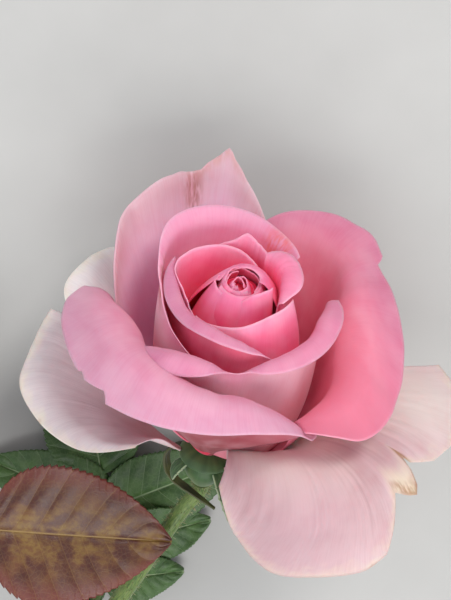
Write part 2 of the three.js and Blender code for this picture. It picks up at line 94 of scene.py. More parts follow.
def petal_line(petal, side):
    """One profile of a petal, as radius and height: a bowed body, the rolled margin, and some spare."""
    seat = np.array(petal["seat"], float)
    crest = np.array([across(petal["reach"], side), across(petal["rise"], side)])
    flare, lean, turn = (radians(float(across(petal[k], side))) for k in ("flare", "lean", "turn"))
    handle = BOW_PART * np.linalg.norm(crest - seat)
    leave = seat + handle * np.array([sin(flare), cos(flare)])
    arrive = crest - handle * np.array([sin(lean), cos(lean)])
    t = np.linspace(0, 1, BOW_STEPS + 1)[:, None]
    body = (1 - t) ** 3 * seat + 3 * t * (1 - t) ** 2 * leave + 3 * t * t * (1 - t) * arrive + t**3 * crest
    flap = float(across(petal["flap"], side))
    bend = lean + turn * np.minimum((np.arange(MARGIN_STEPS) + 0.5) / MARGIN_STEPS / ROLL_PART, 1)
    steps = np.stack([np.sin(bend), np.cos(bend)], 1) * flap / MARGIN_STEPS
    line = np.concatenate([body, crest + np.cumsum(steps, 0)])
    return np.concatenate([line, [line[-1] + unit(steps[-1]) * SPARE]])


FLUTTER_WAVES = (3.2, 0.6)
RIPPLE_WAVES = (14, 0.8)
WRINKLE_WAVES = (40, 1.1, 24)
WRINKLE_PATCHES = (9, 1.6)
CREASED_FROM = 0.45


def swell(side, up, seed, waves_across, waves_along, count=7):
    """A smooth random relief between about -1 and 1, with about that many waves each way."""
    draw = np.random.default_rng(seed)
    total = np.zeros(np.broadcast(side, up).shape)
    for _ in range(count):
        a = pi * waves_across * draw.uniform(0.4, 1)
        b = 2 * pi * waves_along * draw.uniform(-1, 1)
        total += np.sin(a * side + b * up + draw.uniform(0, 2 * pi))
    return total / sqrt(count)


def grid_normals(grid):
    normal = np.cross(np.gradient(grid, axis=0), np.gradient(grid, axis=1))
    return normal / np.maximum(np.linalg.norm(normal, axis=2, keepdims=True), 1e-9)


def petal_grid(petal, columns, rows):
    """A petal's middle surface in the bloom's frame, with its relief, and each column's length."""
    side = np.linspace(-1, 1, columns + 1)
    share = np.linspace(0, 1, rows + 1)
    low, high = petal["azimuth"]
    claw = petal.get("claw", 0.5)
    grid = np.empty((columns + 1, rows + 1, 3))
    length = np.empty(columns + 1)
    for i, u in enumerate(side):
        line = petal_line(petal, u)
        run = run_along(line)
        length[i] = run[-1] - SPARE + np.interp(u, *zip(*petal.get("rim", [(0, 0)])))
        radius, height = (np.interp(share * length[i], run, line[:, k]) for k in (0, 1))
        spread = claw + (1 - claw) * share**SPREAD_POWER
        azimuth = np.radians((low + high) / 2 + (high - low) / 2 * u * spread)
        grid[i] = np.stack([radius * np.cos(azimuth), radius * np.sin(azimuth), height], 1)
    seed = petal["seed"]
    u, v = np.meshgrid(side, share, indexing="ij")
    relief = petal.get("flutter", 0.25) * v**3 * swell(u, v, seed, *FLUTTER_WAVES)
    relief += petal.get("ripple", 0.05) * v**4 * swell(u, v, seed + 50, *RIPPLE_WAVES)
    creased = np.clip((v - CREASED_FROM) / 0.25, 0, 1) * np.clip((1.02 - v) / 0.2, 0.2, 1)
    patchy = np.clip(0.5 + 0.6 * swell(u, v, seed + 91, *WRINKLE_PATCHES), 0, 1.2)
    relief += petal.get("wrinkle", 0) * creased * patchy * swell(u, v, seed + 90, *WRINKLE_WAVES)
    grid += grid_normals(grid) * relief[:, :, None]
    return grid + petal.get("shift", (0, 0, 0)), length


def shell(grid, thick):
    """Vertices and faces of a closed sheet of that thickness about a grid, its front face's points listed
    before its back's.
    """
    columns, rows = grid.shape[:2]
    offset = grid_normals(grid) * (np.broadcast_to(thick, (columns, rows)) / 2)[:, :, None]
    points = np.concatenate([(grid + offset).reshape(-1, 3), (grid - offset).reshape(-1, 3)])
    front = np.arange(columns * rows).reshape(columns, rows)
    back = front + columns * rows
    front_faces = np.stack([front[:-1, :-1], front[1:, :-1], front[1:, 1:], front[:-1, 1:]], -1)
    back_faces = np.stack([back[:-1, :-1], back[:-1, 1:], back[1:, 1:], back[1:, :-1]], -1)
    foot_and_rim = [(front[:, 0], back[:, 0]), (back[:, -1], front[:, -1])]
    margins = [(back[0], front[0]), (front[-1], back[-1])]
    strips = [np.stack([a[:-1], b[:-1], b[1:], a[1:]], -1) for a, b in foot_and_rim + margins]
    faces = [f.reshape(-1, 4) for f in (front_faces, back_faces, *strips)]
    return points, np.concatenate(faces)


def in_scene(name, data):
    holder = bpy.data.objects.new(name, data)
    bpy.context.scene.collection.objects.link(holder)
    return holder


def make_piece(name, points, faces, facts, material, slot, nodes):
    """A piece of the rose from points in the row's frame, in millimetres, with facts at each point."""
    mesh = bpy.data.meshes.new(name)
    mesh.from_pydata((np.asarray(points) * MM).tolist(), [], [list(f) for f in faces])
    mesh.validate()
    for fact, values in facts.items():
        layer = mesh.attributes.new(fact, "FLOAT", "POINT")
        layer.data.foreach_set("value", np.asarray(values, np.float32).ravel())
    mesh.shade_smooth()
    mesh.materials.append(material)
    piece = in_scene(name, mesh)
    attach(piece, "root")
    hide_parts(*nodes)


PETAL_THICK = 0.42
RIM_THICK = 0.2
BROADEST_AT = 0.7


def make_petal(petal, material, slot, columns=64, rows=64):
    """A petal as a closed shell that thins towards its rim, with its own place marked on it."""
    grid, length = petal_grid(petal, columns, rows)
    side, share = np.meshgrid(np.linspace(-1, 1, columns + 1), np.linspace(0, 1, rows + 1), indexing="ij")
    wide = run_along(grid[:, int(rows * BROADEST_AT)])[-1]
    thick = PETAL_THICK + (RIM_THICK - PETAL_THICK) * share**2
    points, faces = shell(grid, thick)
    first_is_inner = petal["azimuth"][0] > petal["azimuth"][1]
    inner = np.concatenate([np.full(side.size, first_is_inner), np.full(side.size, not first_is_inner)])
    facts = {
        "side": np.tile(side.ravel(), 2),
        "up": np.tile(share.ravel(), 2),
        "inner": inner,
        "wide_mm": np.tile((side * wide / 2).ravel(), 2),
        "long_mm": np.tile((share * length[:, None]).ravel(), 2),
    }
    nodes = petal.get("nodes", ["petal_" + petal["name"]])
    make_piece("rose_" + petal["name"], from_bloom(points), faces, facts, material, slot, nodes)


def paint(red, green, blue):
    """A colour given as it looks on a screen, 0 to 255, as the linear colour a shader takes."""
    shown = np.array([red, green, blue]) / 255
    linear = np.where(shown <= 0.04045, shown / 12.92, ((shown + 0.055) / 1.055) ** 2.4)
    return (*linear.tolist(), 1.0)


def put(tree, kind, sockets=None, **settings):
    """Adds one shader node, with its sockets set to values or joined to other nodes' outputs.
    The functions below it take the node tree from the first output they are given, its id_data."""
    node = tree.nodes.new("ShaderNode" + kind)
    for key, value in settings.items():
        setattr(node, key, value)
    for key, value in (sockets or {}).items():
        if isinstance(value, bpy.types.NodeSocket):
            tree.links.new(value, node.inputs[key])
        else:
            node.inputs[key].default_value = value
    return node


def fact(tree, name):
    return put(tree, "Attribute", attribute_name=name).outputs["Fac"]


def worked(kind, a, b=0.0):
    return put(a.id_data, "Math", {0: a, 1: b}, operation=kind).outputs[0]


def times(value, *others):
    for other in others:
        value = worked("MULTIPLY", value, other)
    return value


def minus(a, b):
    return worked("SUBTRACT", a, b)


def size_of(value):
    return worked("ABSOLUTE", value)


def larger(a, b):
    return worked("MAXIMUM", a, b)


def blended(share, a, b, kind="MIX"):
    node = put(share.id_data, "Mix", {0: share, 6: a, 7: b}, data_type="RGBA", blend_type=kind)
    return node.outputs[2]


def between(value, low, high, start=0.0, end=1.0):
    sockets = {"Value": value, "From Min": low, "From Max": high, "To Min": start, "To Max": end}
    return put(value.id_data, "MapRange", sockets, interpolation_type="SMOOTHSTEP").outputs[0]


def tinted(colour, value, low, high, most, tone, kind="MIX"):
    """A colour with another tone laid over it, up to that much, where a value runs from low to high."""
    return blended(between(value, low, high, 0.0, most), colour, paint(*tone), kind)


def graded(share, stops):
    """A colour that runs through the given stops, each a place from 0 to 1 and its colour."""
    node = put(share.id_data, "ValToRGB", {"Fac": share})
    ramp = node.color_ramp
    ramp.interpolation = "EASE"
    while len(ramp.elements) < len(stops):
        ramp.elements.new(0.5)
    for element, (place, colour) in zip(ramp.elements, stops):
        element.position = place
        element.color = paint(*colour)
    return node.outputs["Color"]


def placed(x, y, z):
    return put(x.id_data, "CombineXYZ", {"X": x, "Y": y, "Z": z}).outputs[0]


def grain(x, y, z, detail=2.0):
    sockets = {"Vector": placed(x, y, z), "Scale": 1.0, "Detail": detail, "Distortion": 0.2}
    return put(x.id_data, "TexNoise", sockets).outputs["Fac"]


def flecks(tree, size_mm, seed, detail=2.0):
    """Noise over a piece's skin whose flecks are about that wide and that long."""
    x, y = (worked("DIVIDE", fact(tree, f), mm) for f, mm in zip(("wide_mm", "long_mm"), size_mm))
    return grain(x, y, seed, detail)


def new_finish(name):
    material = bpy.data.materials.new(name)
    material.use_nodes = True
    material.node_tree.nodes.clear()
    return material, material.node_tree


def end_finish(colour, roughness, height, depth_mm, **others):
    """Closes a material: colour, roughness and a bump of that depth, with the shader's other values."""
    tree = colour.id_data
    bump = put(tree, "Bump", {"Strength": 1.0, "Distance": depth_mm * MM, "Height": height})
    sockets = {"Base Color": colour, "Roughness": roughness, "Normal": bump.outputs[0]}
    sockets.update({name.replace("_", " "): value for name, value in others.items()})
    shader = put(tree, "BsdfPrincipled", sockets)
    put(tree, "OutputMaterial", {"Surface": shader.outputs[0]})


VEIN_MM = (0.55, 16)
VEIN_TINT = (240, 186, 206)
BLUSH_MM = (7, 7)
STREAK_MM = (0.909, 4)
RAG_MM = (2.857, 2.857)
CELL_MM = (0.22, 0.22)
PETAL_BUMP_MM = 0.06


def spot(side, up, at_side, at_up, half_wide, half_long):
    """How near a point of a petal is to the middle of a soft oval spot on it, from 0 outside it to 1."""
    dx = worked("DIVIDE", minus(side, at_side), half_wide)
    dy = worked("DIVIDE", minus(up, at_up), half_long)
    apart = worked("ADD", worked("POWER", dx, 2), worked("POWER", dy, 2))
    return between(worked("SQRT", apart), 1.0, 0.1)


def petal_finish(name, inner, outer, veins, seed, flushes_and_painted_light=(), marks=(), dry=0.0, vein_tint=VEIN_TINT):
    """A velvety petal: each face has its own run of colour from claw to rim, crossed by fanned veins.
    Flushes are soft spots of another colour, some of them painted shade and painted light rather than the
    petal's own tone; marks are streaky bruises, dry gives a papery edge."""
    material, tree = new_finish(name)
    up, side = fact(tree, "up"), fact(tree, "side")
    colour = blended(fact(tree, "inner"), graded(up, outer), graded(up, inner))

    off_line = size_of(minus(flecks(tree, VEIN_MM, seed), 0.5))
    line = between(off_line, 0.0, 0.075, 1.0, 0.0)
    shown = times(line, between(up, 0.25, 0.95, 0.15, 1.0), veins)
    colour = blended(shown, colour, paint(*vein_tint), "MULTIPLY")

    blush = flecks(tree, BLUSH_MM, seed + 3)
    colour = tinted(colour, blush, 0.35, 0.75, 0.12, (255, 225, 232))
    colour = tinted(colour, blush, 0.5, 0.2, 0.14, (238, 160, 180), "MULTIPLY")

    # Soft spots: the petal's own flushes and, where given, painted shade and painted light.
    for *place, tone, strength in flushes_and_painted_light:
        near = times(spot(side, up, *place), strength)
        colour = blended(near, colour, paint(*tone))
    streaks = between(flecks(tree, STREAK_MM, seed + 7), 0.3, 0.6)
    for *place, tone, strength in marks:
        worn = times(spot(side, up, *place), streaks, strength)
        colour = blended(worn, colour, paint(*tone))

    edge = larger(up, times(size_of(side), up))
    # Painted highlight: a thin pale band at the very rim, as if lit.
    colour = tinted(colour, edge, 0.985, 1.0, 0.16, (255, 222, 230))
    if dry:
        ragged = times(minus(flecks(tree, RAG_MM, seed + 11, 4.0), 0.5), 0.16)
        reach = worked("ADD", edge, ragged)
        colour = tinted(colour, reach, 0.93, 1.02, 0.75 * dry, (240, 224, 188))
        colour = tinted(colour, reach, 1.005, 1.05, dry, (150, 92, 42))

    cells = flecks(tree, CELL_MM, seed + 5, 1.0)
    height = minus(times(cells, 0.25), times(shown, 0.5))
    roughness = between(blush, 0.2, 0.8, 0.5, 0.64)
    end_finish(
        colour, roughness, height, PETAL_BUMP_MM,
        Subsurface_Weight=0.45, Subsurface_Radius=(1.0, 0.42, 0.46), Subsurface_Scale=1.2 * MM,
        Sheen_Weight=0.12, Sheen_Roughness=0.45, Sheen_Tint=(1.0, 0.82, 0.88, 1.0),
        Specular_IOR_Level=0.32,
    )
    return material


HEART_INNER = [(0, (200, 20, 56)), (0.55, (232, 36, 84)), (0.85, (248, 70, 118)), (1, (248, 122, 160))]
HEART_OUTER = [(0, (224, 24, 62)), (0.55, (250, 40, 88)), (0.85, (254, 74, 122)), (1, (250, 126, 166))]
heart_finish = petal_finish("heart petal", HEART_INNER, HEART_OUTER, veins=0.1, seed=1.0)
HEART_PETALS = [
    dict(
        name="heart_wrap", azimuth=[150, 342], flutter=0.08, seed=11,
        reach=[5.4, 5.8, 6, 5.6, 5.2, 5.1, 5.4, 6, 6.5, 7.4],
        rise=[50.9, 51.1, 51, 50.6, 50.3, 50.2, 50.4, 52.4, 53.1, 53.6],
        lean=[-26, -26, -26, -26, -26, -26, -24, -20, -16, -10], flap=[0.8], turn=[12],
    ),
    dict(
        name="heart_hood", nodes=["petal_heart_wrap"], azimuth=[-15, 178], flutter=0.15, seed=12,
        reach=[6.2, 6.2, 6, 5.8, 5.6, 5.5, 5.6, 5.9, 6.2],
        rise=[53.2, 53.4, 53.5, 53.5, 53.2, 52.7, 52, 51.4, 51],
        flap=[2.4, 2.8, 3.2, 3.3, 3.1, 2.6, 2.2, 1.8, 1.5], lean=[-38], turn=[-45],
    ),
]
for petal in HEART_PETALS:
    petal.update(seat=[1.9, 1.8], flare=[26], claw=0.9)
    make_petal(petal, heart_finish, "petal_heart", 72, 48)

# The scroll inside the heart: six tiny rolled petals of the same tissue, each closer to the scroll's
# middle, which lies off the bloom's axis towards the front. They stand highest at the back. One
# loop turns them out, and the solid heart core stands for them.
SCROLL_COUNT = 6
SCROLL_RADIUS = 5.0
SCROLL_STEP = 0.82
SCROLL_TILT = 0.9
SCROLL_MIDDLE = np.array([-1.0, -1.7, 0.0])
SCROLL_HEIGHT = 52.3
SCROLL_START = 205
SCROLL_TURN = 128
SCROLL_SWEEP = 235
across_petal = np.linspace(-1, 1, 9)
for number in range(SCROLL_COUNT):
    inward = number / (SCROLL_COUNT - 1)
    start = SCROLL_START + SCROLL_TURN * number
    bearing = np.radians(start + SCROLL_SWEEP * (across_petal + 1) / 2)
    tilt = (SCROLL_TILT - 0.5 * inward) * np.sin(bearing)
    petal = dict(
        name=f"heart_scroll_{number + 1}", nodes=["petal_heart_core"], seed=21 + number,
        azimuth=[start, start + SCROLL_SWEEP],
        reach=SCROLL_RADIUS - SCROLL_STEP * number - 0.3 * across_petal,
        rise=SCROLL_HEIGHT + tilt - 0.5 * across_petal**2,
        lean=[-24], flap=[0.9], turn=[-20],
        seat=[1.0, 2.2], flare=[12], claw=0.95, flutter=0.2,
        shift=SCROLL_MIDDLE * inward,
    )
    make_petal(petal, heart_finish, "petal_heart", 72, 48)

# The tight bud at the very middle, whose petals never open, deep pink like the scroll. It is one
# domed body on rings of points, with the spiral ridges of the folded petals, set in the scroll.
BUD_RADIUS = 4.4
BUD_TOP = 50.9
BUD_FOOT = 44.0
BUD_DOME = 0.9
BUD_RIDGE = 0.22
BUD_TURNS = 5
BUD_RINGS = 60
BUD_SIDES = 96


def ring_faces(rings, sides):
    """The faces of a round body whose points lie in rings, listed from its foot, closed at both ends."""
    ring = np.arange(rings * sides).reshape(rings, sides)
    after = np.roll(ring, -1, axis=1)
    faces = np.stack([ring[:-1], after[:-1], after[1:], ring[1:]], -1).reshape(-1, 4).tolist()
    return [*faces, ring[0][::-1].tolist(), ring[-1].tolist()]


shares = np.linspace(1, 1 / BUD_RINGS, BUD_RINGS)
share, turn = np.meshgrid(shares, np.arange(BUD_SIDES) / BUD_SIDES, indexing="ij")
ridge = BUD_RIDGE * np.abs(np.sin(pi * (BUD_TURNS * share + turn))) * np.minimum(share * 4, 1)
angle = 2 * pi * turn
height = BUD_TOP - BUD_DOME * share**2 + ridge
dome = np.stack([BUD_RADIUS * share * np.cos(angle), BUD_RADIUS * share * np.sin(angle), height], 2)
under = [dome[-1:] * [1, 1, 0] + [0, 0, BUD_FOOT], dome[:1] - [0, 0, BUD_TOP - BUD_FOOT]]
points = np.concatenate([*under, dome]).reshape(-1, 3)
facts = {
    "side": np.zeros(len(points)),
    "up": np.clip(np.concatenate([np.full(2 * BUD_SIDES, 0.2), 0.45 + 1.6 * ridge.ravel()]), 0, 0.95),
    "inner": np.ones(len(points)),
    "wide_mm": points[:, 0],
    "long_mm": points[:, 1],
}
faces = ring_faces(BUD_RINGS + 2, BUD_SIDES)
make_piece(
    "rose_heart_bud", from_bloom(points), faces, facts, heart_finish, "petal_heart", ["petal_heart_core"]
)

# Four inner petals close round the heart. Same velvety tissue, a little paler at the rolled rim.
# They spring from the hip's top and lean on each other, each with one margin over the next.
INNER_INNER = [(0, (212, 28, 62)), (0.6, (244, 66, 108)), (0.88, (248, 104, 146)), (1, (248, 148, 180))]
INNER_OUTER = [(0, (222, 36, 74)), (0.6, (248, 80, 122)), (0.9, (250, 106, 146)), (1, (246, 150, 180))]
inner_finish = petal_finish("inner petal", INNER_INNER, INNER_OUTER, veins=0.12, seed=2.0)
INNER_PETALS = [
    dict(
        name="inner_front", azimuth=[220, 345], seat=[2.8, 1.4], flare=[38], seed=31,
        reach=[11.4, 11.7, 12, 12, 12.2, 12.6], rise=[45.5, 46.6, 47.9, 50.1, 51.2, 52.2],
        lean=[-15, -15, -18, -22, -26, -26], flap=[0.8], turn=[8],
    ),
    dict(
        name="inner_left", azimuth=[236, 64], seat=[2.8, 1.4], flare=[32], seed=32,
        reach=[11.8, 12, 12.8, 15.2, 14.6, 12.4, 10.2, 8.3, 7],
        rise=[44, 46.5, 48.5, 50.2, 51.5, 52.4, 52.4, 52, 51.8],
        lean=[-5, -5, 0, 5, 5, 0, -5, -10, -15], flap=[1.2], turn=[15],
    ),
    dict(
        name="inner_back", azimuth=[134, 52], seat=[3.8, 1], flare=[35], seed=33,
        reach=[15, 13.4, 12.4, 12.4, 11.4, 10.4, 9.8], rise=[48.5, 51.4, 53.2, 54.6, 54.2, 53.8, 53.4],
        lean=[5], flap=[0.9], turn=[10], rim=[(-0.3, 0), (0, 0.9), (0.3, 0)],
    ),
    dict(
        name="inner_right", azimuth=[60, -28], seat=[3.8, 1], flare=[30], seed=34,
        reach=[8.4, 8.4, 8.5, 8.7, 9.2, 10], rise=[54.6, 55.2, 55, 54.4, 53, 51], lean=[0],
        flap=[1.5, 3.6, 5.6, 6.2, 5.2, 2.5], turn=[40, 75, 100, 105, 95, 50],
    ),
]
for petal in INNER_PETALS:
    make_petal(petal, inner_finish, "petal_heart")

# The cup: three taller petals of the same tissue, grown from the hip outside the inner ones. Their
# margins roll outwards, so that the inner face shows as a lilac-pink lip. The back one is flushed
# orange along its right rim and bruised brown at its left.
CUP_INNER = [(0, (220, 56, 90)), (0.5, (240, 106, 138)), (0.8, (226, 126, 156)), (1, (214, 132, 164))]
CUP_OUTER = [(0, (250, 120, 140)), (0.45, (255, 172, 188)), (0.8, (255, 194, 208)), (1, (236, 150, 178))]
BACK_CUP_INNER = [(0, (226, 70, 104)), (0.5, (248, 132, 166)), (0.8, (252, 162, 192)), (1, (240, 154, 186))]
LEFT_CUP_OUTER = [(0, (236, 26, 74)), (0.6, (252, 56, 104)), (0.9, (250, 108, 142)), (1, (244, 152, 182))]
cup_finish = petal_finish("cup petal", CUP_INNER, CUP_OUTER, veins=0.14, seed=3.0)
cup_left_finish = petal_finish("left cup petal", CUP_INNER, LEFT_CUP_OUTER, veins=0.14, seed=3.5)
BACK_CUP_MARKS = [
    (-0.36, 0.93, 0.24, 0.1, (170, 92, 70), 0.8),
    (0.78, 0.93, 0.2, 0.14, (240, 104, 90), 0.8),
]
cup_back_finish = petal_finish(
    "cup back petal", BACK_CUP_INNER, CUP_OUTER, veins=0.14, seed=4.0, marks=BACK_CUP_MARKS
)
CUP_PETALS = [
    dict(
        name="cup_left", azimuth=[160, 306], seat=[3.8, 1], flare=[36], finish=cup_left_finish, seed=41,
        reach=[16.4, 14.4, 13.2, 12.8, 12.8, 13, 13.8, 15.4, 17.6],
        rise=[50.5, 49, 47.4, 47, 47, 47.2, 47, 46, 43.6], lean=[0, -6, -10, -10, -10, -10, -8, -5, 0],
        flap=[1, 3.8, 5.2, 5.4, 5.4, 5.2, 4.8, 3.6, 1],
        turn=[50, 110, 125, 130, 130, 130, 125, 110, 50],
    ),
    dict(
        name="cup_back", azimuth=[246, 42], seat=[4.8, 0.6], flare=[40], claw=0.4,
        finish=cup_back_finish, seed=42, reach=[17, 16.8, 17.2, 18.6, 20.4, 20.6, 19.6, 17, 15],
        rise=[40, 43.6, 47, 49.8, 52, 51.8, 51.2, 51.2, 51.8], lean=[0, 0, 0, 0, 5, 8, 8, 8, 5],
        flap=[1, 1, 1.2, 3, 4.6, 5.2, 5, 4, 2.5], turn=[40, 40, 40, 40, 45, 45, 50, 50, 30],
    ),
    dict(
        name="cup_front", azimuth=[203, 368], seat=[3.6, 1.1], claw=0.45, finish=cup_finish, seed=43,
        reach=[23.8, 23, 22.2, 20.6, 19.8, 19, 19, 19.4, 18.9, 20],
        rise=[36, 41.5, 44.4, 44.2, 42.6, 44.2, 45.4, 47.4, 49, 48.5], lean=[0],
        flap=[1, 6, 8.5, 5.8, 0.8, 4.6, 6.2, 7, 7, 3.4],
        turn=[80, 140, 150, 140, 60, 115, 125, 125, 110, 95],
        flare=[10, 12, 16, 22, 32, 46, 60, 70, 74, 74],
    ),
]
for petal in CUP_PETALS:
    make_petal(petal, petal["finish"], "petal_cup", 88, 72)

# Three broad petals open round the cup, grown from the rim of the hip. The left one rolls right
# over, the right one stands as a wide shell with a lilac rim, and the one behind ends in a torn
# point with brown streaks.
BROAD_INNER = [(0, (206, 70, 104)), (0.45, (224, 100, 132)), (0.75, (236, 134, 158)), (1, (210, 124, 154))]
BROAD_OUTER = [(0, (140, 44, 54)), (0.5, (150, 56, 68)), (0.8, (176, 84, 100)), (1, (224, 148, 180))]
LEFT_INNER = [(0, (214, 66, 96)), (0.45, (236, 112, 144)), (0.6, (236, 142, 170)), (1, (214, 152, 178))]
LOW_FLUSH = [(0.8, 0.85, 0.7, 0.6, (238, 126, 152), 0.85), (-0.1, 0.55, 0.5, 0.3, (232, 112, 140), 0.5)]
right_finish = petal_finish(
    "right broad petal", BROAD_INNER, BROAD_OUTER, veins=0.14, seed=5.0, flushes_and_painted_light=LOW_FLUSH
)
left_finish = petal_finish("left broad petal", LEFT_INNER, BROAD_OUTER, veins=0.14, seed=6.0)
POINTED_INNER = [(0, (200, 96, 138)), (0.5, (222, 162, 196)), (0.75, (238, 194, 216)), (1, (216, 174, 184))]
POINTED_MARKS = [
    (0.3, 0.92, 0.13, 0.16, (160, 92, 76), 0.7),
    (0.5, 0.99, 0.3, 0.04, (206, 150, 140), 0.5),
]
pointed_finish = petal_finish(
    "back pointed petal", POINTED_INNER, BROAD_OUTER, veins=0.16, marks=POINTED_MARKS, seed=7.0
)
BROAD_PETALS = [
    dict(
        name="right_broad", azimuth=[92, -52], flare=[50], finish=right_finish, seed=51,
        reach=[24, 27, 30, 30, 27.2, 24.4, 23.6, 24.2, 25.6, 26, 26],
        rise=[42, 45, 45, 45, 45, 43, 39.5, 35.5, 33, 31.5, 30],
        lean=[10, 15, 20, 20, 15, 10, 10, 10, 10, 10, 10],
        flap=[4, 7.4, 10, 11.2, 12, 16, 19, 20.5, 19, 15, 6],
        turn=[20, 40, 50, 60, 80, 95, 105, 110, 110, 100, 60],
        rim=[
            (-0.45, 0), (-0.32, 1.6), (-0.22, 1.6), (-0.19, -0.6), (-0.1, 0), (0.5, 0),
            (0.8, 1.6), (1, 2.4),
        ],
    ),
    dict(
        name="left_broad", azimuth=[164, 321], seat=[3.8, 1], flare=[34], finish=left_finish, seed=52,
        reach=[28, 23, 21.5, 22.5, 23.5, 24, 23.5, 23.5, 25.5, 28],
        rise=[33, 35.5, 37, 38, 39, 38.5, 37.5, 37, 34, 27.5], lean=[20, 5, 0, 0, 0, 0, 0, 5, 12, 40],
        flap=[11, 21, 24, 23, 19.5, 17, 15, 14.5, 11.5, 5.5],
        turn=[100, 130, 140, 145, 148, 140, 138, 120, 110, 100],
        rim=[
            (-0.4, 0), (-0.37, -1), (-0.34, 0), (-0.2, -1), (-0.17, 1.5), (0, 1), (0.3, 0),
            (0.62, -1.2), (0.8, -2), (0.92, -2), (1, -3.5),
        ],
    ),
    dict(
        name="back_pointed", azimuth=[178, 80], flare=[50], finish=pointed_finish, seed=53,
        reach=[24, 30, 33, 35, 35.6, 37, 39.5, 33, 25],
        rise=[29, 40, 47, 49.5, 53, 52.6, 53.4, 51.4, 47], lean=[5, 15, 20, 25, 25, 30, 35, 30, 20],
        flap=[1, 2, 2, 2, 1], turn=[20],
        rim=[
            (-1, 0), (0.1, 0.2), (0.2, 0.7), (0.3, -0.2), (0.385, -1), (0.4, 0), (0.45, 0.7), (0.5, 2),
            (0.57, 5), (0.6, 2.8), (0.65, 1.7), (0.7, 0.5), (0.8, 0),
        ],
    ),
]
for petal in BROAD_PETALS:
    petal.setdefault("seat", [5.8, 0.1])
    petal.update(flutter=0.5, ripple=0.12)
    make_petal(petal, petal["finish"], "petal_broad", 96, 88)

# The guard petals: the oldest, outermost ones, bent right back from under the hip's rim and faded
# to a pinkish white, with long soft wrinkles, papery cream edges gone brown in places, and a tear
# in the front one.
# The front guard petal's inner run holds painted light and shade: the near-white stop a third of the way up
# is painted light on its neck, and the darker mauve stop at three quarters is painted shade where the left
# broad petal's shadow falls.
GUARD_INNER = [(0, (238, 220, 206)), (0.35, (250, 242, 232)), (0.75, (198, 166, 170)), (1, (212, 180, 184))]
GUARD_OUTER = [(0, (204, 166, 152)), (0.5, (218, 184, 184)), (1, (228, 200, 202))]
WHITE_INNER = [(0, (216, 192, 190)), (0.5, (228, 208, 212)), (1, (240, 228, 228))]
WHITE_OUTER = [(0, (206, 178, 176)), (0.5, (222, 202, 206)), (1, (236, 224, 226))]
# Painted shade: the left guard petal's inner face is the white tissue greyed down, a shaded copy, as that
# petal lies in shade.
SHADED_WHITE_INNER = [(0, (200, 178, 176)), (0.5, (202, 184, 190)), (1, (214, 200, 202))]
# Spots on the front guard petal's inner face: the first, grey-mauve spot is painted shade, and the next two
# pale cream spots are painted light; the last three, cream and brown at the rim, are its own dry, torn
# edge.
GUARD_FLUSHES_AND_PAINTED_LIGHT = [
    (-0.55, 0.75, 0.5, 0.5, (190, 154, 164), 0.5),
    (0.3, 0.45, 0.45, 0.4, (244, 230, 216), 0.6),
    (0.75, 0.8, 0.5, 0.4, (240, 226, 218), 0.6),
    (0.14, 0.94, 0.17, 0.12, (240, 222, 194), 0.7),
    (0.18, 1.0, 0.15, 0.03, (138, 88, 48), 1.0),
    (0.26, 0.97, 0.03, 0.08, (138, 88, 48), 0.9),
]
GUARD_MARKS = [
    (0.12, 0.97, 0.13, 0.06, (150, 98, 56), 0.7),
    (0.72, 1.0, 0.06, 0.04, (160, 112, 70), 0.9),
]
front_finish = petal_finish(
    "front guard petal", GUARD_INNER, GUARD_OUTER, veins=0.22, seed=8.0,
    flushes_and_painted_light=GUARD_FLUSHES_AND_PAINTED_LIGHT, marks=GUARD_MARKS, dry=0.4, vein_tint=(228, 200, 206)
)
white_finish = petal_finish(
    "white guard petal", WHITE_INNER, WHITE_OUTER, veins=0.2, seed=9.0, dry=0.5, vein_tint=(226, 214, 224)
)
